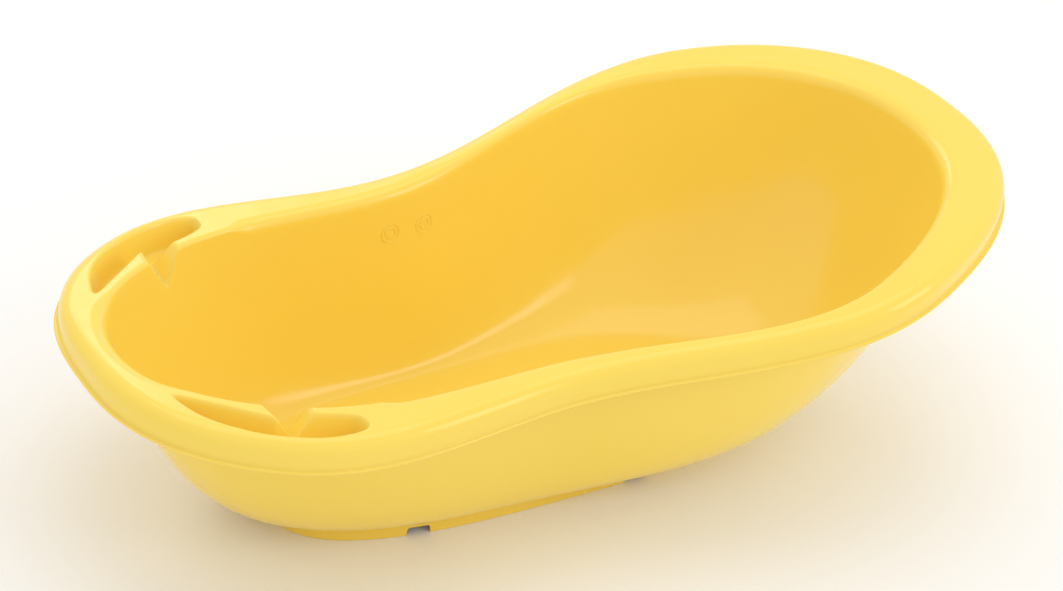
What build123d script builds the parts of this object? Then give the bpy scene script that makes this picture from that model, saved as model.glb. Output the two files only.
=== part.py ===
from build123d import *
import math
import os

# A baby bathtub in millimetres: one injection moulding, divided along its form lines.
# +X points to the head end, +Z up. The origin is under the middle, at floor level.

# Overall size
length = 1000.0
foot_half = 247.0      # half-widths of the flange's outline before its ends round off
waist_half = 197.0
head_half = 284.0
foot_round = 2.6       # exponents of the end curves: 2 is an ellipse, more is squarer
head_round = 2.35

# Stations where the outline is widest or narrowest, as fractions of a section's length
foot_station = -0.39
waist_station = -0.09
head_station = 0.30

# Height of the rim's top along the tub: fraction of the length, height
rim_line = [
    (-0.55, 238.0),
    (-0.30, 225.0),
    (-0.12, 226.0),
    (0.03, 239.0),
    (0.18, 262.0),
    (0.34, 292.0),
    (0.55, 315.0),
]

# Wall and rim
wall = 2.5
shoulder = 12.0        # radius of the rim's outer shoulder
skirt_depth = 31.0     # from the rim's top down to the underside of the flange
flange_reach = 4.0     # how far the flange stands out of the skirt
flange_thickness = 3.0

# Bowl, measured on its outside
floor_lift = 20.0      # underside of the bowl above the ground
floor_foot_gap = 173.0  # from each end of the tub to the flat of the floor
floor_head_gap = 277.0
floor_half = 110.0
mouth_foot_gap = 16.0  # from each end of the tub to the wall at full height
mouth_head_gap = 66.0
mouth_foot_half = 195.0
mouth_waist_half = 163.0
mouth_head_half = 254.0
mouth_height = 335.0   # the wall's curves run out here, above the rim line
foot_sweep = 1.6       # exponents of the wall's curves from the floor to the mouth
head_sweep = 2.2
side_sweep = 2.0
mouth_round = 2.2
bowl_levels = [0.0, 0.015, 0.06, 0.14, 0.27, 0.46, 0.70, 1.0]

# Foot ring
ring_foot_gap = 199.0  # from each end of the tub to the ring
ring_head_gap = 225.0
ring_foot_half = 105.0
ring_half = 105.0
ring_round = 2.9
ring_height = 60.0     # before the bowl trims it
notch_width = 25.0
notch_height = 9.0
notch_places = [-0.177, 0.072]  # fractions of the length, the same on both sides

# Soap dishes
dish_margin = 19.0     # from the flange's edge to the well
dish_lip = 7.0         # from the bowl's mouth to the well
dish_depth = 28.0
rim_level = 0.68        # how far up the bowl's wall the rim lies beside the dishes
dish_start = -0.448    # ends and middle of the well, as fractions of the length
dish_middle = -0.374
dish_end = -0.300
dish_neck = 32.0       # width of the well where the drain channel meets it
channel_mouth = 44.0   # width of the drain channel at the bowl
channel_throat = 34.0  # and at the well
channel_drop = 34.0    # depth of the channel's floor at the bowl
channel_rise = 25.0    # and at the well

# Moulded marks on the left wall
mark_radius = 11.0
mark_thickness = 0.8
mark_height = 180.0
mark_places = [-0.092, -0.050]

outline_count = 32
well_count = 24
well_power = 0.62      # below 1 squares the ends of a well
sky = 400.0            # above everything


def ease(start, end, fraction):
    """Goes smoothly from start to end, flat at both."""
    held = min(max(fraction, 0.0), 1.0)
    return start + (end - start) * held * held * (3 - 2 * held)


def signed_power(value, power):
    return math.copysign(abs(value) ** power, value)


def outline_point(shape, angle):
    """A point of a waisted outline, from the angle round its middle."""
    low, high, halves, rounds = shape
    size = high - low
    middle = (low + high) / 2
    across, along = math.sin(angle), math.cos(angle)
    power = 2 / (rounds[0] if along < 0 else rounds[1])
    x = middle + size / 2 * signed_power(along, power)
    foot, waist, head = [middle + size * station for station in (foot_station, waist_station, head_station)]
    if x < waist:
        half = ease(halves[0], halves[1], (x - foot) / (waist - foot))
    else:
        half = ease(halves[1], halves[2], (x - waist) / (head - waist))
    return x, half * signed_power(across, power)


def grown_point(shape, angle, grow):
    """The same point moved outward along the outline's normal."""
    step = 1e-4
    x, y = outline_point(shape, angle)
    x0, y0 = outline_point(shape, angle - step)
    x1, y1 = outline_point(shape, angle + step)
    run = math.hypot(x1 - x0, y1 - y0)
    return x + grow * (y1 - y0) / run, y - grow * (x1 - x0) / run


def outline_face(shape, grow=0.0, z=0.0):
    """A flat face inside the outline."""
    angles = [2 * math.pi * (i + 0.5) / outline_count for i in range(outline_count)]
    points = [(*grown_point(shape, angle, grow), z) for angle in angles]
    return make_face(Spline(*points, periodic=True))


def angle_at(shape, x):
    """The angle of the outline's left side at x."""
    low, high = 0.0, math.pi
    for _ in range(60):
        middle = (low + high) / 2
        if outline_point(shape, middle)[0] > x:
            low = middle
        else:
            high = middle
    return low


def column(face, low, high):
    """A face at z 0 drawn out from low to high."""
    return Pos(0, 0, low) * extrude(face, amount=high - low)


def under_rim(drop):
    """Everything lower than the rim line less drop."""
    top = Spline(*[(fraction * length, 0, height - drop) for fraction, height in rim_line])
    base = Polyline(top @ 1, (rim_line[-1][0] * length, 0, -20), (rim_line[0][0] * length, 0, -20), top @ 0)
    return extrude(make_face([top, base]), amount=length, dir=(0, 1, 0), both=True)


def rim_height(x):
    """Height of the rim's top at x, read off the rim line."""
    top = Spline(*[(fraction * length, height) for fraction, height in rim_line])
    low, high = 0.0, 1.0
    for _ in range(50):
        middle = (low + high) / 2
        if (top @ middle).X < x:
            low = middle
        else:
            high = middle
    return (top @ low).Y


flange_shape = (-length / 2, length / 2, (foot_half, waist_half, head_half), (foot_round, head_round))
ring_shape = (
    -length / 2 + ring_foot_gap,
    length / 2 - ring_head_gap,
    (ring_foot_half, ring_half, ring_half),
    (ring_round, ring_round),
)


def bowl_shape(level):
    """The bowl's outline at a fraction of the way up from its floor to its mouth."""
    sweep = [(1 - (1 - level) ** power) ** (1 / power) for power in (foot_sweep, head_sweep, side_sweep)]
    low = -length / 2 + floor_foot_gap + (mouth_foot_gap - floor_foot_gap) * sweep[0]
    high = length / 2 - floor_head_gap - (mouth_head_gap - floor_head_gap) * sweep[1]
    mouth = (mouth_foot_half, mouth_waist_half, mouth_head_half)
    halves = [floor_half + (half - floor_half) * sweep[2] for half in mouth]
    return low, high, halves, (mouth_round, mouth_round)


def bowl_body(inset):
    """The bowl as a solid, its skin moved in by inset."""
    sections = []
    for level in bowl_levels:
        z = floor_lift + inset + (mouth_height - floor_lift - inset) * level
        sections.append(outline_face(bowl_shape(level), -inset, z))
    return loft(sections)


def rim_body(inset, drop):
    """The rim's outer form as a solid with its shoulder rounded."""
    body = column(outline_face(flange_shape, -flange_reach - inset), 0, sky) & under_rim(drop)
    crown = body.faces().sort_by(Axis.Z)[-1]
    return fillet(crown.edges(), shoulder - drop)


def make_rim(bowl_outside, dishes):
    """Rolled rim: a level top, a rounded shoulder, a skirt and its flange."""
    flange = column(outline_face(flange_shape), 0, sky) & under_rim(skirt_depth - flange_thickness)
    rim = (rim_body(0, 0) + flange) - rim_body(wall, wall) - under_rim(skirt_depth) - bowl_outside
    for dish in dishes:
        rim -= dish
    return rim


def well_outline(grow):
    """A soap dish's two-lobed well, seen from above, on the left side; its edge starts at the cusp."""
    mouth = bowl_shape(rim_level)
    points = []
    for i in range(well_count + 1):
        turn = math.pi / 2 + 2 * math.pi * i / well_count
        along, across = signed_power(math.cos(turn), well_power), signed_power(math.sin(turn), well_power)
        x = length * (dish_start + (dish_end - dish_start) * (1 - along) / 2)
        outer = Vector(*grown_point(flange_shape, angle_at(flange_shape, x), -dish_margin))
        inner = Vector(*grown_point(mouth, angle_at(mouth, x), dish_lip))
        band = inner - outer
        pinch = 2 * (1 - dish_neck / band.length) * (1 - abs(along)) ** 3 if across > 0 else 0
        points.append(outer + band * (1 + across * (1 - pinch)) / 2)
    grown = []
    for i, point in enumerate(points):
        run = points[(i + 1) if i < well_count else 1] - points[i - 1 if i else -2]
        grown.append(point + Vector(run.Y, -run.X) * (grow / run.length))
    return make_face(Spline(*grown))


def channel_body(grow):
    """The V-shaped drain channel from the well to the bowl, grown by grow."""
    throat = Vector(*grown_point(flange_shape, angle_at(flange_shape, dish_middle * length),
                                 -dish_margin - dish_neck + 6))
    mouth_shape = bowl_shape(rim_level)
    x = dish_middle * length
    mouth = Vector(*grown_point(mouth_shape, angle_at(mouth_shape, x + 14), -12))
    run = mouth - throat
    side = Vector(-run.Y, run.X) / run.length
    top = rim_height(x)
    ends = []
    for place, width, drop in ((throat, channel_throat, channel_rise), (mouth, channel_mouth, channel_drop)):
        half = side * (width / 2 + grow)
        low = Vector(0, 0, top - drop - grow)
        high = Vector(0, 0, sky)
        ends.append(make_face(Polyline(place - half + high, place + low, place + half + high, close=True)))
    return loft(ends)


def make_dish(rim_top, bowl_inside, bowl_outside):
    """A soap dish: a thin cup hung in the rim, and the channel that drains it into the bowl."""
    floor = rim_height(dish_middle * length) - dish_depth
    cup = column(well_outline(wall), floor - wall, sky)
    well = column(well_outline(0), floor, sky)
    whole = (cup + (channel_body(wall) - bowl_inside)) & rim_top
    return whole, whole - well - channel_body(0)


def make_foot_ring(bowl_outside):
    """The standing ring under the bowl, notched along both sides."""
    ring = column(outline_face(ring_shape) - outline_face(ring_shape, -wall), 0, ring_height)
    for place in notch_places:
        for side in (-1, 1):
            cutter = Box(notch_width, 40, 2 * notch_height)
            ring -= Pos(place * length, side * ring_half, 0) * cutter
    return ring - bowl_outside


def make_mark(place, bowl_inside):
    """A thin round mark raised from the inside of the left wall."""
    inner = bowl_body(wall + mark_thickness)
    rod = Pos(place * length, 0, mark_height) * Rot(-90, 0, 0) * Cylinder(mark_radius, length / 2,
                                                                      align=(Align.CENTER, Align.CENTER, Align.MIN))
    return (rod & bowl_inside) - inner


def save(name, body):
    export_step(body, f"parts/{name}.step")
    print(name, len(body.solids()), round(body.volume), body.is_valid)


os.makedirs("parts", exist_ok=True)
bowl_outside = bowl_body(0)
bowl_inside = bowl_body(wall)
rim_top = under_rim(0)
left_whole, left_dish = make_dish(rim_top, bowl_inside, bowl_outside)
right_whole, right_dish = mirror(left_whole, Plane.XZ), mirror(left_dish, Plane.XZ)
save("bowl", ((bowl_outside - bowl_inside) & rim_top) - left_whole - right_whole)
save("rim", make_rim(bowl_outside, [left_whole, right_whole]))
save("soap_dish_left", left_dish)
save("soap_dish_right", right_dish)
save("foot_ring", make_foot_ring(bowl_outside))
for number, place in enumerate(mark_places, 1):
    save(f"moulded_mark_{number}", make_mark(place, bowl_inside))
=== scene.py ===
# %% [markdown]
# # A moulded baby bathtub
# The real tub is one injection moulding in glossy yellow polypropylene. A wide rim rolls over into a skirt,
# the head end rises in a long S-curve, two soap dishes are sunk in the rim at the foot end, and a ring under
# the bowl keeps it off the ground. The imported CAD parts give its size.

# %% Load the frame
import math
import bmesh
import bpy
import numpy as np
from mathutils import Matrix, Vector
from mathutils.bvhtree import BVHTree


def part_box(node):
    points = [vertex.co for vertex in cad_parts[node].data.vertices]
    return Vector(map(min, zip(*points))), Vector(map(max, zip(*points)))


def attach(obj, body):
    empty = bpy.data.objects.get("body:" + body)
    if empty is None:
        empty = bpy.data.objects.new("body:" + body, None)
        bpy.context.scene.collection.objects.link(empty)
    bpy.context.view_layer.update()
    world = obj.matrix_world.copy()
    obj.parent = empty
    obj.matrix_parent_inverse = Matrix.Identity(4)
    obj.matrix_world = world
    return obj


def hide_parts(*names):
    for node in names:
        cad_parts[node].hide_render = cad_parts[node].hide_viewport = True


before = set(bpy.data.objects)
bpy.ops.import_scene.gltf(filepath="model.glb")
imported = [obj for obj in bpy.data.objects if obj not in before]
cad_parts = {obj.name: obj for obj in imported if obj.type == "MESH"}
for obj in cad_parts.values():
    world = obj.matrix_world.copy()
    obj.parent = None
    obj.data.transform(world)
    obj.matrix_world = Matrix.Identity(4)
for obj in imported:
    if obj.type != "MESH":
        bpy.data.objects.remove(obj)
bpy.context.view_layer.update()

# %% [markdown]
# ## Sizes
# The tub's form follows a few sizes in metres, most of them the CAD's. The foot ring's wall and the drain
# channels are a little larger here. The plan is a waisted oval: a superellipse whose half-width eases from
# the foot to the waist to the head. The rim's top is a curve of height along the tub, so the rim, skirt and
# flange all rise together.

# %% Sizes
LENGTH = 1.000
FLANGE_HALVES = (0.247, 0.197, 0.284)
FLANGE_ROUNDS = (2.6, 2.35)
STATIONS = (-0.39, -0.09, 0.30)
RIM_LINE = [
    (-0.55, 0.238), (-0.30, 0.225), (-0.12, 0.226), (0.03, 0.239),
    (0.18, 0.262), (0.34, 0.292), (0.55, 0.315),
]
WALL = 0.0025
FLANGE_REACH = 0.004
SHOULDER = 0.015
MOUTH_ROLL = 0.014
LIP_ROLL = 0.005

FLOOR_LIFT = 0.020
FLOOR_ENDS = (-0.327, 0.223)
FLOOR_HALF = 0.110
MOUTH_ENDS = (-0.484, 0.434)
MOUTH_HALVES = (0.195, 0.163, 0.254)
MOUTH_HEIGHT = 0.335
SWEEPS = (1.6, 2.2, 2.0)
MOUTH_ROUND = 2.2

# %% [markdown]
# ## Outlines
# Each helper takes whole arrays of angles, so a row of the tub is one call. The outline's normal comes from
# a small step either way, and moving points along it gives the wall its thickness.

# %% Outline helpers
def ease(start, end, fraction):
    held = np.clip(fraction, 0.0, 1.0)
    return start + (end - start) * held * held * (3 - 2 * held)


def signed_power(value, power):
    return np.sign(value) * np.abs(value) ** power


def outline(ends, halves, rounds, angle):
    size, middle = ends[1] - ends[0], (ends[0] + ends[1]) / 2
    along, across = np.cos(angle), np.sin(angle)
    power = 2 / np.where(along < 0, rounds[0], rounds[1])
    x = middle + size / 2 * signed_power(along, power)
    foot, waist, head = [middle + size * station for station in STATIONS]
    near = ease(halves[0], halves[1], (x - foot) / (waist - foot))
    far = ease(halves[1], halves[2], (x - waist) / (head - waist))
    return x, np.where(x < waist, near, far) * signed_power(across, power)


def grown(shape, angle, grow):
    step = 1e-4
    x, y = outline(*shape, angle)
    x0, y0 = outline(*shape, angle - step)
    x1, y1 = outline(*shape, angle + step)
    run = np.hypot(x1 - x0, y1 - y0)
    return x + grow * (y1 - y0) / run, y - grow * (x1 - x0) / run


def flange_at(angle, inset):
    return grown(((-LENGTH / 2, LENGTH / 2), FLANGE_HALVES, FLANGE_ROUNDS), angle, -inset)


def bowl_at(level, angle, inset):
    sweep = [(1 - (1 - level) ** power) ** (1 / power) for power in SWEEPS]
    ends = [FLOOR_ENDS[i] + (MOUTH_ENDS[i] - FLOOR_ENDS[i]) * sweep[i] for i in (0, 1)]
    halves = [FLOOR_HALF + (half - FLOOR_HALF) * sweep[2] for half in MOUTH_HALVES]
    return grown((ends, halves, (MOUTH_ROUND, MOUTH_ROUND)), angle, -inset)


def rim_height(x):
    """Height of the rim's top at x: a smooth curve through the rim line's points."""
    knots = np.array([fraction * LENGTH for fraction, _ in RIM_LINE])
    heights = np.array([height for _, height in RIM_LINE])
    slopes = np.gradient(heights, knots)
    i = np.clip(np.searchsorted(knots, x) - 1, 0, len(knots) - 2)
    run = knots[i + 1] - knots[i]
    t = (x - knots[i]) / run
    rise = (1 + 2 * t) * (1 - t) ** 2 * heights[i] + t * t * (3 - 2 * t) * heights[i + 1]
    return rise + run * (t * (1 - t) ** 2 * slopes[i] - t * t * (1 - t) * slopes[i + 1])


STOPS = np.array([-0.5, -0.09, 0.5])
print("rim height at the foot, waist and head", np.round(rim_height(STOPS), 3))

# %% [markdown]
# ## Soap dishes
# On the real tub each dish is a long well that follows the rim's edge, pinched in the middle where a V-shaped
# channel drains it into the tub. It could be cut with a boolean, but that leaves ragged edges on a thin skin.
# Here it is a depth that is taken off the rim's height, so the lips and corners round off by themselves.

# %% Dish sizes and shape
DISH_MARGIN = 0.019
DISH_LIP = 0.007
DISH_NECK = 0.032
DISH_ENDS = (-0.448, -0.300)
DISH_DEPTH = 0.028
DISH_SLOPE = 0.011
WELL_POWER = 0.62
RIM_LEVEL = 0.68
CHANNEL_MOUTH, CHANNEL_THROAT = 0.044, 0.034
CHANNEL_DROP, CHANNEL_RISE = 0.036, 0.026
CHANNEL_SOFTNESS = 0.0016


def angle_at(x):
    table = np.linspace(math.pi, 0, 2000)
    return np.interp(x, flange_at(table, 0)[0], table)


def mouth_angle_at(x):
    table = np.linspace(math.pi, 0, 2000)
    return np.interp(x, bowl_at(RIM_LEVEL, table, 0)[0], table)


def well_outline(count=240):
    turn = math.pi / 2 + np.linspace(0, 2 * math.pi, count, endpoint=False)
    along, across = signed_power(np.cos(turn), WELL_POWER), signed_power(np.sin(turn), WELL_POWER)
    x = DISH_ENDS[0] + (DISH_ENDS[1] - DISH_ENDS[0]) * (1 - along) / 2
    outer = np.stack(flange_at(angle_at(x), DISH_MARGIN), 1)
    inner = np.stack(bowl_at(RIM_LEVEL, mouth_angle_at(x), -DISH_LIP), 1)
    band = inner - outer
    pinch = 2 * (1 - DISH_NECK / np.linalg.norm(band, axis=1)) * (1 - np.abs(along)) ** 3
    share = (1 + across * (1 - np.where(across > 0, pinch, 0))) / 2
    return outer + band * share[:, None]


WELL = well_outline()


def inside_distance(x, y):
    """How far a point lies inside the well's edge; less than nothing outside it."""
    point = np.stack([x, np.abs(y)], -1)[..., None, :]
    start, end = WELL, np.roll(WELL, -1, axis=0)
    run = end - start
    share = np.clip(((point - start) * run).sum(-1) / (run ** 2).sum(-1), 0, 1)
    gap = np.linalg.norm(point - start - share[..., None] * run, axis=-1).min(-1)
    py = point[..., 1]
    crosses = (start[:, 1] > py) != (end[:, 1] > py)
    rise = np.where(np.abs(run[:, 1]) < 1e-12, 1e-12, run[:, 1])
    at = start[:, 0] + (py - start[:, 1]) / rise * run[:, 0]
    inside = (crosses & (point[..., 0] < at)).sum(-1) % 2 == 1
    return np.where(inside, gap, -gap)


def channel_floor(x, y, drop):
    """Height of the drain channel's V at a point; very high away from it."""
    middle = np.array(sum(DISH_ENDS) / 2)
    throat = np.array(flange_at(angle_at(middle), DISH_MARGIN + DISH_NECK - 0.006))
    mouth = np.array(bowl_at(RIM_LEVEL, mouth_angle_at(middle + 0.014), 0.012))
    run = mouth - throat
    reach = np.linalg.norm(run)
    run = run / reach
    along = ((x - throat[0]) * run[0] + (np.abs(y) - throat[1]) * run[1]) / reach
    aside = np.abs((np.abs(y) - throat[1]) * run[0] - (x - throat[0]) * run[1])
    held = np.clip(along, 0, 1.6)
    depth = CHANNEL_RISE + (CHANNEL_DROP - CHANNEL_RISE) * held
    half = (CHANNEL_THROAT + (CHANNEL_MOUTH - CHANNEL_THROAT) * held) / 2
    height = rim_height(x) - drop - depth * (1 - aside / half)
    return np.where(along > -0.5, height, 9.0)


def soft_lower(height, cap, softness):
    return np.minimum(height, cap) - softness * np.log1p(np.exp(-np.abs(height - cap) / softness))


def sink_dishes(rows, low_skin):
    """Takes the wells and channels off the heights of the rows near them."""
    x, y, z = rows
    near = (x < DISH_ENDS[1] + 0.03) & (np.abs(y) > 0.05)
    if not near.any():
        return rows
    drop = WALL if low_skin else 0.0
    spread = WALL if low_skin else 0.0
    nx, ny, nz = x[near], y[near], z[near]
    depth = DISH_DEPTH * ease(0, 1, (inside_distance(nx, ny) + spread + 0.002) / DISH_SLOPE)
    on_rim = rim_height(nx) - drop - nz < 0.012
    nz = np.where(on_rim & (depth > 0), np.minimum(nz, rim_height(nx) - drop - depth), nz)
    lowered = soft_lower(nz, channel_floor(nx, ny, drop), CHANNEL_SOFTNESS)
    z[near] = np.where(nz - lowered > 2e-5, lowered, nz)
    return x, y, z


print("well about", np.round(np.ptp(WELL, axis=0), 3), "m across")

# %% [markdown]
# ## Columns
# The tub's skin is a grid: columns go round it and rows go from the inner floor over the rim to the outer
# floor. Columns are close together beside the dishes, where the shape turns quickly, and wider elsewhere.

# %% Columns round the tub
COLUMN_COUNT = 520
DISH_CROWDING = 3.6


def spaced_angles(count):
    angles = np.linspace(0, 2 * math.pi, 6001)
    x, y = flange_at(angles, 0)
    pace = np.hypot(np.diff(x), np.diff(y))
    middle = (x[1:] + x[:-1]) / 2
    before = ease(0, 1, (DISH_ENDS[1] + 0.03 - middle) / 0.03)
    after = ease(0, 1, (middle - DISH_ENDS[0] + 0.04) / 0.03)
    crowd = 1 + DISH_CROWDING * before * after
    travelled = np.concatenate([[0], np.cumsum(pace * crowd)])
    return np.interp(np.linspace(0, travelled[-1], count, endpoint=False), travelled, angles)


ANGLES = spaced_angles(COLUMN_COUNT)
print(len(ANGLES), "columns")

# %% [markdown]
# ## The skin
# Every row is worked out from the sizes: the floor, the wall's sweep, the roll over the mouth, the level rim,
# the round shoulder, the skirt with its thin flange, and then the same way back underneath. One closed skin
# gives unbroken highlights, as on the real moulding; separate pieces would show a seam in every reflection.

# %% Rows of the skin
FLOOR_ROWS, WALL_ROWS, ROLL_ROWS, FLAT_ROWS, SHOULDER_ROWS = 8, 40, 7, 40, 9
UNDER_FLOOR_ROWS = 5
# The skirt's flange in section: millimetres in from its edge, and down from the rim's top.
LIP = [
    (4.0, 21.0), (3.9, 26.4), (3.4, 27.5), (2.2, 28.0), (0.9, 28.2), (0.2, 28.8),
    (0.0, 29.6), (0.3, 30.5), (1.1, 31.0), (5.4, 31.0), (6.4, 30.4), (6.5, 22.0),
]


def mouth_level(lift, inset, below):
    """How far up the wall each column meets the height below the rim's top."""
    level = np.full(len(ANGLES), 0.7)
    for _ in range(40):
        x, _y = bowl_at(level, ANGLES, inset)
        level = np.clip((rim_height(x) - below - lift) / (MOUTH_HEIGHT - lift), 0.2, 0.995)
    return level


def wall_point(level, lift, inset):
    x, y = bowl_at(level, ANGLES, inset)
    return np.stack([x, y, lift + (MOUTH_HEIGHT - lift) * level])


def rim_point(inset, below):
    x, y = flange_at(ANGLES, inset)
    return np.stack([x, y, rim_height(x) - below])


def blend(start, corner, end, count):
    """Rows of a curve that leaves start towards corner and arrives at end."""
    steps = np.linspace(0, 1, count + 2)[1:-1]
    return [start * (1 - t) ** 2 + corner * 2 * t * (1 - t) + end * t * t for t in steps]


def floor_rows(lift, inset, count):
    edge = wall_point(np.full(len(ANGLES), 0.0), lift, inset)
    centre = np.array([[(FLOOR_ENDS[0] + FLOOR_ENDS[1]) / 2], [0.0], [lift]])
    return [centre + (edge - centre) * t for t in np.linspace(0, 1, count + 1)[1:]]


def roll_over(lift, inset, roll, drop, count):
    """The wall's top, bent over into the rim: its rows, and where the rim's flat begins."""
    top_level = mouth_level(lift, inset, roll + drop)
    top = wall_point(top_level, lift, inset)
    lean = top - wall_point(top_level - 0.01, lift, inset)
    corner = top + lean * (roll / lean[2])
    corner[2] = rim_height(corner[0]) - drop
    outward = rim_point(0, drop)[:2] - corner[:2]
    outward /= np.linalg.norm(outward, axis=0)
    flat_x, flat_y = corner[0] + outward[0] * roll, corner[1] + outward[1] * roll
    flat = np.stack([flat_x, flat_y, rim_height(flat_x) - drop])
    return top_level, blend(top, corner, flat, count), flat


def flat_rows(start, end, drop, count):
    rows = []
    for t in np.linspace(0, 1, count):
        x, y = start[0] + (end[0] - start[0]) * t, start[1] + (end[1] - start[1]) * t
        rows.append(np.stack([x, y, rim_height(x) - drop]))
    return rows


def wall_rows(top_level, lift, inset, count):
    return [wall_point(top_level * t ** 1.7, lift, inset) for t in np.linspace(0, 1, count + 1)[1:]]


def mouth_rolls():
    """Radius of the roll over the mouth for each column: tighter along the lips of the soap dishes."""
    x, _y = flange_at(ANGLES, 0.03)
    beside = ease(0, 1, (DISH_ENDS[1] + 0.015 - x) / 0.025) * ease(0, 1, (x - DISH_ENDS[0] + 0.015) / 0.025)
    return MOUTH_ROLL - (MOUTH_ROLL - LIP_ROLL) * beside


def skin_rows():
    inner_lift = FLOOR_LIFT + WALL
    rolls = mouth_rolls()
    level, roll, flat = roll_over(inner_lift, WALL, rolls, 0.0, ROLL_ROWS)
    rows = floor_rows(inner_lift, WALL, FLOOR_ROWS)
    rows += wall_rows(level, inner_lift, WALL, WALL_ROWS)
    rows += roll
    rows += flat_rows(flat, rim_point(FLANGE_REACH + SHOULDER, 0), 0.0, FLAT_ROWS)
    for turn in np.linspace(0, math.pi / 2, SHOULDER_ROWS + 1)[1:]:
        inset = FLANGE_REACH + SHOULDER * (1 - math.sin(turn))
        rows.append(rim_point(inset, SHOULDER * (1 - math.cos(turn))))
    rows += [rim_point(inset / 1000, below / 1000) for inset, below in LIP]
    round_in = SHOULDER - WALL
    for turn in np.linspace(math.pi / 2, 0, 6):
        inset = FLANGE_REACH + WALL + round_in * (1 - math.sin(turn))
        rows.append(rim_point(inset, WALL + round_in * (1 - math.cos(turn))))
    level, roll, flat = roll_over(FLOOR_LIFT, 0.0, rolls - WALL, WALL, 4)
    rows += flat_rows(rim_point(FLANGE_REACH + SHOULDER, WALL), flat, WALL, 24)[1:]
    rows += roll[::-1]
    rows += wall_rows(level, FLOOR_LIFT, 0.0, 26)[::-1]
    rows += floor_rows(FLOOR_LIFT, 0.0, UNDER_FLOOR_ROWS)[::-1]
    return rows


ROWS = skin_rows()
TOP_ROWS = FLOOR_ROWS + WALL_ROWS + ROLL_ROWS + FLAT_ROWS + SHOULDER_ROWS
for number in range(FLOOR_ROWS, TOP_ROWS):
    ROWS[number] = np.stack(sink_dishes(tuple(ROWS[number].copy()), False))
for number in range(TOP_ROWS + len(LIP), len(ROWS) - UNDER_FLOOR_ROWS):
    ROWS[number] = np.stack(sink_dishes(tuple(ROWS[number].copy()), True))
print(len(ROWS), "rows,", 2 * len(ROWS) * len(ANGLES), "triangles")

# %% [markdown]
# ## One closed mesh
# Neighbouring rows are joined by four-sided faces, and the floor's two ends are closed by fans. The signed
# volume then says how much plastic the skin holds, and tells whether the faces look outward.

# %% Turn rows into a closed mesh
def mesh_from_rows(name, rows, capped=True):
    count = rows[0].shape[1]
    points = np.concatenate([row.T for row in rows])
    faces = []
    for r in range(len(rows) - 1):
        for c in range(count):
            d = (c + 1) % count
            faces.append((r * count + c, r * count + d, (r + 1) * count + d, (r + 1) * count + c))
    if capped:
        first, last = len(points), len(points) + 1
        points = np.concatenate([points, [rows[0].mean(1)], [rows[-1].mean(1)]])
        base = (len(rows) - 1) * count
        faces += [(first, (c + 1) % count, c) for c in range(count)]
        faces += [(last, base + c, base + (c + 1) % count) for c in range(count)]
    mesh = bpy.data.meshes.new(name)
    mesh.from_pydata([tuple(p) for p in points], [], faces)
    mesh.validate()
    mesh.shade_smooth()
    piece = bpy.data.objects.new(name, mesh)
    bpy.context.scene.collection.objects.link(piece)
    return piece


def face_outward(piece):
    """Turns every face outward, judged by the closed mesh's signed volume."""
    mesh = piece.data
    mesh.calc_loop_triangles()
    points = np.array([v.co for v in mesh.vertices])
    corners = points[np.array([t.vertices for t in mesh.loop_triangles])]
    volume = (corners[:, 0] * np.cross(corners[:, 1], corners[:, 2])).sum() / 6
    if volume < 0:
        mesh.flip_normals()
    return round(abs(volume) * 1e6)


tub = mesh_from_rows("tub_moulding", ROWS)
print("tub_moulding holds", face_outward(tub), "cubic centimetres of plastic")

# %% [markdown]
# ## Foot ring
# A thin skirt under the bowl, level along its lower edge, with two notches each side. It is a swept wall: an
# outer and an inner outline joined top and bottom. Its top is found by looking straight up at the bowl, so
# the two meet however the bowl curves there.

# %% Foot ring
RING_ENDS = (-0.301, 0.275)
RING_HALVES = (0.105, 0.105, 0.105)
RING_ROUNDS = (2.9, 2.9)
RING_WALL = 0.003
RING_EDGE = 0.0008
NOTCH_CENTRES = (-0.177, 0.072)
NOTCH_WIDTH = 0.025
NOTCH_HEIGHT = 0.009
NOTCH_CORNER = 0.004


def ring_angles():
    """Even angles, with extra ones where a notch starts and ends."""
    table = np.linspace(0, 2 * math.pi, 8001)
    x, y = outline(RING_ENDS, RING_HALVES, RING_ROUNDS, table)
    travelled = np.concatenate([[0], np.cumsum(np.hypot(np.diff(x), np.diff(y)))])
    angles = list(np.interp(np.linspace(0, travelled[-1], 420, endpoint=False), travelled, table))
    for centre in NOTCH_CENTRES:
        for edge in np.linspace(-1, 1, 33):
            at = centre + edge * (NOTCH_WIDTH / 2 + 0.0002)
            left = np.interp(-at, -x[:4001], table[:4001])
            angles += [left, 2 * math.pi - left]
    return np.array(sorted(angles))


def notch_edge(x, y):
    """Height of the ring's lower edge: level, but raised with a rounded corner in each notch."""
    height = np.zeros(len(x))
    for centre in NOTCH_CENTRES:
        inward = NOTCH_WIDTH / 2 - np.abs(x - centre)
        corner = np.clip(inward / NOTCH_CORNER, 0, 1)
        rounded = NOTCH_HEIGHT - NOTCH_CORNER * (1 - np.sqrt(1 - (1 - corner) ** 2))
        height = np.where((inward > 0) & (np.abs(y) > RING_HALVES[0] / 2), rounded, height)
    return height


def height_of_bowl(x, y, ray_tree):
    hits = []
    for a, b in zip(x, y):
        hit = ray_tree.ray_cast(Vector((a, b, -0.01)), Vector((0, 0, 1)))[0]
        hits.append(hit.z if hit else FLOOR_LIFT)
    return np.array(hits) + WALL / 3


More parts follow.
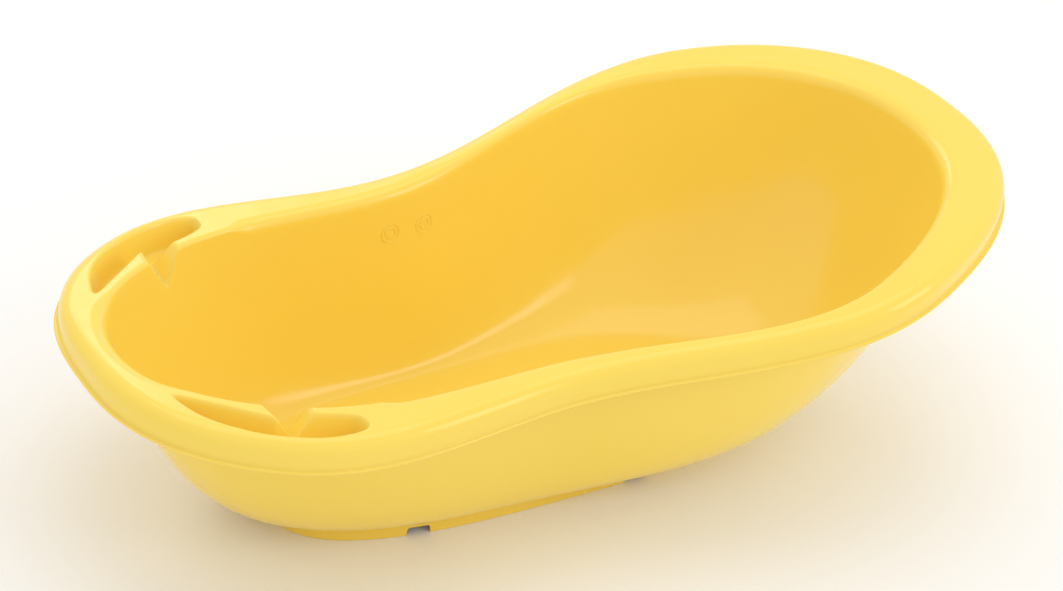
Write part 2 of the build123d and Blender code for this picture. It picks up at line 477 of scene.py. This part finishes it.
def make_foot_ring():
    angles = ring_angles()
    tree = BVHTree.FromObject(tub, bpy.context.evaluated_depsgraph_get())
    shape = (RING_ENDS, RING_HALVES, RING_ROUNDS)
    outer, inner = grown(shape, angles, 0), grown(shape, angles, -RING_WALL)
    edge_out, edge_in = grown(shape, angles, -RING_EDGE), grown(shape, angles, RING_EDGE - RING_WALL)
    low = notch_edge(*outer)
    out_top, in_top = height_of_bowl(*outer, tree), height_of_bowl(*inner, tree)
    rows = [np.stack([*inner, in_top])]
    rows += [np.stack([*inner, low + RING_EDGE + (in_top - low - RING_EDGE) * t]) for t in (0.5, 0.0)]
    rows += [np.stack([*edge_in, low]), np.stack([*edge_out, low])]
    rows += [np.stack([*outer, low + RING_EDGE + (out_top - low - RING_EDGE) * t]) for t in (0.0, 0.5, 1.0)]
    rows.append(rows[0])
    ring = mesh_from_rows("foot_ring_wall", rows, capped=False)
    return ring


def weld(piece, distance=1e-6):
    shape = bmesh.new()
    shape.from_mesh(piece.data)
    bmesh.ops.remove_doubles(shape, verts=shape.verts, dist=distance)
    bmesh.ops.recalc_face_normals(shape, faces=shape.faces)
    shape.to_mesh(piece.data)
    shape.free()


foot_ring = make_foot_ring()
weld(foot_ring)
foot_ring.data.set_sharp_from_angle(angle=math.radians(40))
print("foot_ring_wall holds", face_outward(foot_ring), "cubic centimetres")

# %% [markdown]
# ## Moulded marks
# Two small round marks stand a fraction of a millimetre proud of the left wall. Marks like these are usually
# left by round pins in the mould, which is a guess here. A Geometry Nodes tree sweeps a thin wire round two
# circles and puts the pair at each place, turned to face out of the wall, so the sizes stay as inputs.

# %% Node tree for a swept ring
def new_tree(name, inputs):
    tree = bpy.data.node_groups.new(name, "GeometryNodeTree")
    tree.interface.new_socket("Geometry", in_out="INPUT", socket_type="NodeSocketGeometry")
    sockets = {}
    for label, kind, value in inputs:
        socket = tree.interface.new_socket(label, in_out="INPUT", socket_type=kind)
        if value is not None:
            socket.default_value = value
        sockets[label] = socket.identifier
    tree.interface.new_socket("Geometry", in_out="OUTPUT", socket_type="NodeSocketGeometry")
    return tree, sockets


def marks_tree():
    kinds = [("Outer Radius", "NodeSocketFloat", 0.0102), ("Inner Radius", "NodeSocketFloat", 0.0058),
             ("Wire Radius", "NodeSocketFloat", 0.0006), ("Material", "NodeSocketMaterial", None)]
    tree, sockets = new_tree("marks_on_points", kinds)
    nodes, links = tree.nodes, tree.links
    start, end = nodes.new("NodeGroupInput"), nodes.new("NodeGroupOutput")
    wire = nodes.new("GeometryNodeCurvePrimitiveCircle")
    wire.inputs["Resolution"].default_value = 8
    links.new(start.outputs["Wire Radius"], wire.inputs["Radius"])
    join = nodes.new("GeometryNodeJoinGeometry")
    for label in ("Outer Radius", "Inner Radius"):
        circle = nodes.new("GeometryNodeCurvePrimitiveCircle")
        circle.inputs["Resolution"].default_value = 64
        links.new(start.outputs[label], circle.inputs["Radius"])
        sweep = nodes.new("GeometryNodeCurveToMesh")
        links.new(circle.outputs["Curve"], sweep.inputs["Curve"])
        links.new(wire.outputs["Curve"], sweep.inputs["Profile Curve"])
        links.new(sweep.outputs["Mesh"], join.inputs["Geometry"])
    keep = nodes.new("GeometryNodeCaptureAttribute")
    keep.domain = "FACE"
    keep.capture_items.new("VECTOR", "Normal")
    links.new(start.outputs["Geometry"], keep.inputs["Geometry"])
    links.new(nodes.new("GeometryNodeInputNormal").outputs["Normal"], keep.inputs["Normal"])
    to_points = nodes.new("GeometryNodeMeshToPoints")
    to_points.mode = "FACES"
    links.new(keep.outputs["Geometry"], to_points.inputs["Mesh"])
    facing = nodes.new("FunctionNodeAlignRotationToVector")
    facing.axis = "Z"
    links.new(keep.outputs["Normal"], facing.inputs["Vector"])
    place = nodes.new("GeometryNodeInstanceOnPoints")
    links.new(to_points.outputs["Points"], place.inputs["Points"])
    links.new(join.outputs["Geometry"], place.inputs["Instance"])
    links.new(facing.outputs["Rotation"], place.inputs["Rotation"])
    smooth = nodes.new("GeometryNodeSetShadeSmooth")
    realize = nodes.new("GeometryNodeRealizeInstances")
    paint = nodes.new("GeometryNodeSetMaterial")
    links.new(place.outputs["Instances"], realize.inputs["Geometry"])
    links.new(realize.outputs["Geometry"], smooth.inputs["Geometry"])
    links.new(smooth.outputs["Geometry"], paint.inputs["Geometry"])
    links.new(start.outputs["Material"], paint.inputs["Material"])
    links.new(paint.outputs["Geometry"], end.inputs["Geometry"])
    return tree, sockets


def plain_copy(piece, name):
    """The evaluated piece as a plain mesh object in its place."""
    evaluated = piece.evaluated_get(bpy.context.evaluated_depsgraph_get())
    mesh = bpy.data.meshes.new_from_object(evaluated)
    bpy.data.objects.remove(piece)
    made = bpy.data.objects.new(name, mesh)
    mesh.name = name
    bpy.context.scene.collection.objects.link(made)
    return made


# %% [markdown]
# ## Moulded plastic
# Polypropylene off a polished mould is glossy but never perfectly flat: the wall has slow waves from cooling,
# a very fine skin texture, and small changes in colour and gloss. One shader group works these out from the
# object's own coordinates, and each material feeds them to its own Principled shader.

# %% Shader group for moulded plastic
def plastic_group():
    group = bpy.data.node_groups.new("moulded_surface", "ShaderNodeTree")
    inputs = (
        ("Deep Colour", "NodeSocketColor", (0.9, 0.5, 0.05, 1)),
        ("Pale Colour", "NodeSocketColor", (1, 0.7, 0.1, 1)),
        ("Gloss Low", "NodeSocketFloat", 0.12),
        ("Gloss High", "NodeSocketFloat", 0.24),
        ("Wave Scale", "NodeSocketFloat", 9.0),
        ("Skin Scale", "NodeSocketFloat", 900.0),
    )
    outputs = (
        ("Colour", "NodeSocketColor"),
        ("Roughness", "NodeSocketFloat"),
        ("Waves", "NodeSocketFloat"),
        ("Skin", "NodeSocketFloat"),
    )
    for label, kind, value in inputs:
        socket = group.interface.new_socket(label, in_out="INPUT", socket_type=kind)
        socket.default_value = value
    for label, kind in outputs:
        group.interface.new_socket(label, in_out="OUTPUT", socket_type=kind)
    nodes, links = group.nodes, group.links
    start, end = nodes.new("NodeGroupInput"), nodes.new("NodeGroupOutput")
    place = nodes.new("ShaderNodeTexCoord")

    def noise(scale_label, detail, factor=1.0):
        texture = nodes.new("ShaderNodeTexNoise")
        texture.inputs["Detail"].default_value = detail
        links.new(place.outputs["Object"], texture.inputs["Vector"])
        times = nodes.new("ShaderNodeMath")
        times.operation = "MULTIPLY"
        times.inputs[1].default_value = factor
        links.new(start.outputs[scale_label], times.inputs[0])
        links.new(times.outputs[0], texture.inputs["Scale"])
        return texture.outputs["Fac"]

    waves = noise("Wave Scale", 1.0)
    patches = noise("Wave Scale", 3.0, 0.6)
    scuffs = noise("Wave Scale", 6.0, 4.0)
    skin = noise("Skin Scale", 2.0)
    tint = nodes.new("ShaderNodeMix")
    tint.data_type = "RGBA"
    links.new(patches, tint.inputs["Factor"])
    links.new(start.outputs["Deep Colour"], tint.inputs["A"])
    links.new(start.outputs["Pale Colour"], tint.inputs["B"])
    gloss = nodes.new("ShaderNodeMapRange")
    gloss.inputs["From Min"].default_value = 0.3
    gloss.inputs["From Max"].default_value = 0.75
    links.new(scuffs, gloss.inputs["Value"])
    links.new(start.outputs["Gloss Low"], gloss.inputs["To Min"])
    links.new(start.outputs["Gloss High"], gloss.inputs["To Max"])
    links.new(tint.outputs["Result"], end.inputs["Colour"])
    links.new(gloss.outputs["Result"], end.inputs["Roughness"])
    links.new(waves, end.inputs["Waves"])
    links.new(skin, end.inputs["Skin"])
    return group


SURFACE = plastic_group()
print("shader group", SURFACE.name, "with", len(SURFACE.nodes), "nodes")

# %% [markdown]
# ## Three finishes
# The tub is the most glossy. The foot ring is a little duller, as it is rubbed by the floor, and its colour
# is painted deeper than the tub's: painted shade for the tub's own shade on it. The marks share the tub's
# colour with gentler waves.

# %% Plastic materials
def plastic(name, deep, pale, gloss=(0.12, 0.22), wave_height=0.0012, skin_height=0.00002):
    material = bpy.data.materials.new(name)
    material.use_nodes = True
    nodes, links = material.node_tree.nodes, material.node_tree.links
    shader = nodes["Principled BSDF"]
    surface = nodes.new("ShaderNodeGroup")
    surface.node_tree = SURFACE
    surface.inputs["Deep Colour"].default_value = (*deep, 1)
    surface.inputs["Pale Colour"].default_value = (*pale, 1)
    surface.inputs["Gloss Low"].default_value, surface.inputs["Gloss High"].default_value = gloss
    links.new(surface.outputs["Colour"], shader.inputs["Base Color"])
    links.new(surface.outputs["Roughness"], shader.inputs["Roughness"])
    last = None
    for output, height in (("Waves", wave_height), ("Skin", skin_height)):
        bump = nodes.new("ShaderNodeBump")
        bump.inputs["Distance"].default_value = height
        bump.inputs["Strength"].default_value = 1.0
        links.new(surface.outputs[output], bump.inputs["Height"])
        if last:
            links.new(last.outputs["Normal"], bump.inputs["Normal"])
        last = bump
    links.new(last.outputs["Normal"], shader.inputs["Normal"])
    shader.inputs["IOR"].default_value = 1.49
    return material


TUB_PLASTIC = plastic("tub_plastic", (0.965, 0.690, 0.096), (0.980, 0.725, 0.112))
# The ring's two colours are painted shade, deeper than the tub's to stand for the tub's shade on the ring;
# its rougher gloss stands for rubbing by the floor.
RING_PLASTIC_PAINTED_SHADE = plastic("ring_plastic_painted_shade", (0.925, 0.625, 0.072), (0.945, 0.655, 0.082), gloss=(0.16, 0.28))
MARK_PLASTIC = plastic("mark_plastic", (0.965, 0.690, 0.096), (0.980, 0.725, 0.112), wave_height=0.0004)
tub.data.materials.append(TUB_PLASTIC)
foot_ring.data.materials.append(RING_PLASTIC_PAINTED_SHADE)
print("materials", [m.name for m in (TUB_PLASTIC, RING_PLASTIC_PAINTED_SHADE, MARK_PLASTIC)])

# %% [markdown]
# ## Where the marks sit
# A ray from the tub's middle finds the wall at each mark's height. A tiny triangle there carries the wall's
# own direction into the node tree, so each mark lies flat on the curve. The triangles aren't kept.

# %% Place the marks on the wall
def mark_seeds():
    """One small triangle at each mark, lying on the wall and facing out of it."""
    tree = BVHTree.FromObject(tub, bpy.context.evaluated_depsgraph_get())
    points, faces = [], []
    for node in ("moulded_mark_1", "moulded_mark_2"):
        low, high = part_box(node)
        middle = [(a + b) / 2 for a, b in zip(low, high)]
        spot, normal, _index, _gap = tree.ray_cast(Vector((middle[0], 0.0, middle[2])), Vector((0, 1, 0)))
        normal = normal if normal.y < 0 else -normal
        side = normal.cross(Vector((0, 0, 1))).normalized() * 1e-5
        rise = side.cross(normal).normalized() * 1e-5
        first = len(points)
        points += [spot + side, spot + rise, spot - side - rise]
        face = (first, first + 1, first + 2)
        turned = (points[first + 1] - points[first]).cross(points[first + 2] - points[first])
        faces.append(face if turned.dot(normal) > 0 else face[::-1])
    return points, faces


def make_marks():
    points, faces = mark_seeds()
    mesh = bpy.data.meshes.new("mark_seeds")
    centres = [sum((points[i] for i in face), Vector()) / 3 for face in faces]
    mesh.from_pydata([tuple(p) for p in points], [], faces)
    seeds = bpy.data.objects.new("mark_seeds", mesh)
    bpy.context.scene.collection.objects.link(seeds)
    tree, sockets = marks_tree()
    modifier = seeds.modifiers.new("marks", "NODES")
    modifier.node_group = tree
    modifier[sockets["Material"]] = MARK_PLASTIC
    return plain_copy(seeds, "moulded_marks"), centres


marks, mark_centres = make_marks()
print("moulded_marks", len(marks.data.polygons), "faces at", np.round([tuple(c) for c in mark_centres], 3))

# %% [markdown]
# ## Hand the pieces to the frame
# Every piece rides on the one body, and the CAD nodes it stands for are hidden and printed.

# %% Ride and replace
for piece, nodes, slot in ((tub, ("bowl", "rim", "soap_dish_left", "soap_dish_right"), "tub"),
                           (foot_ring, ("foot_ring",), "foot_ring"),
                           (marks, ("moulded_mark_1", "moulded_mark_2"), "marks")):
    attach(piece, "root")
    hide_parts(*nodes)
    print(piece.name, "stands for", nodes)

# %% [markdown]
# ## Floor, light and camera
# A product studio: a pale floor, one large soft light overhead, and two smaller ones behind and to the right.
# The camera stands well back with a long lens, a little above the tub and turned towards its foot end.

# %% Floor
FLOOR_SIZE = 8.0


def make_floor():
    mesh = bpy.data.meshes.new("studio_floor")
    half = FLOOR_SIZE / 2
    corners = [(-half, -half, 0), (half, -half, 0), (half, half, 0), (-half, half, 0)]
    mesh.from_pydata(corners, [], [(0, 1, 2, 3)])
    floor = bpy.data.objects.new("studio_floor", mesh)
    bpy.context.scene.collection.objects.link(floor)
    material = bpy.data.materials.new("floor_white")
    material.use_nodes = True
    shader = material.node_tree.nodes["Principled BSDF"]
    shader.inputs["Base Color"].default_value = (0.95, 0.95, 0.95, 1)
    shader.inputs["Roughness"].default_value = 0.9
    mesh.materials.append(material)
    return floor


make_floor()

# %% Lights and background
def area_light(name, place, aim, size, power):
    data = bpy.data.lights.new(name, "AREA")
    data.shape = "RECTANGLE"
    data.size, data.size_y = size
    data.energy = power
    lamp = bpy.data.objects.new(name, data)
    turn = (Vector(aim) - Vector(place)).to_track_quat("-Z", "Y")
    lamp.matrix_world = Matrix.Translation(place) @ turn.to_matrix().to_4x4()
    bpy.context.scene.collection.objects.link(lamp)


area_light("overhead", (0.1, 0.3, 2.6), (0, 0, 0.1), (2.2, 1.6), 10)
area_light("window_right", (1.7, -1.9, 1.5), (0, 0, 0.2), (0.9, 1.2), 8)
area_light("window_back", (0.2, 2.4, 1.8), (0, 0, 0.2), (1.6, 0.8), 7)

world = bpy.data.worlds.new("studio")
bpy.context.scene.world = world
world.use_nodes = True
world.node_tree.nodes["Background"].inputs["Color"].default_value = (1, 1, 1, 1)
world.node_tree.nodes["Background"].inputs["Strength"].default_value = 0.88

# %% Camera
VIEW_TURN, VIEW_LIFT, VIEW_ROLL = (math.radians(a) for a in (-35.7, 33.1, 8.5))
VIEW_DISTANCE = 2.477
VIEW_TARGET = Vector((-0.152, -0.191, 0.335))
LENS = 94.0

reach = math.cos(VIEW_LIFT)
back = Vector((math.sin(VIEW_TURN) * reach, -math.cos(VIEW_TURN) * reach, math.sin(VIEW_LIFT)))
level_right = Vector((math.cos(VIEW_TURN), math.sin(VIEW_TURN), 0))
level_up = back.cross(level_right)
right = level_right * math.cos(VIEW_ROLL) + level_up * math.sin(VIEW_ROLL)
up = level_up * math.cos(VIEW_ROLL) - level_right * math.sin(VIEW_ROLL)
camera_data = bpy.data.cameras.new("camera")
camera_data.lens = LENS
camera_data.sensor_width = 36.0
camera = bpy.data.objects.new("camera", camera_data)
turned = Matrix((right, up, back)).transposed().to_4x4()
camera.matrix_world = Matrix.Translation(VIEW_TARGET + back * VIEW_DISTANCE) @ turned
bpy.context.scene.collection.objects.link(camera)
bpy.context.scene.camera = camera
bpy.context.scene.view_settings.view_transform = "Standard"
print("camera", [round(v, 3) for v in camera.location])
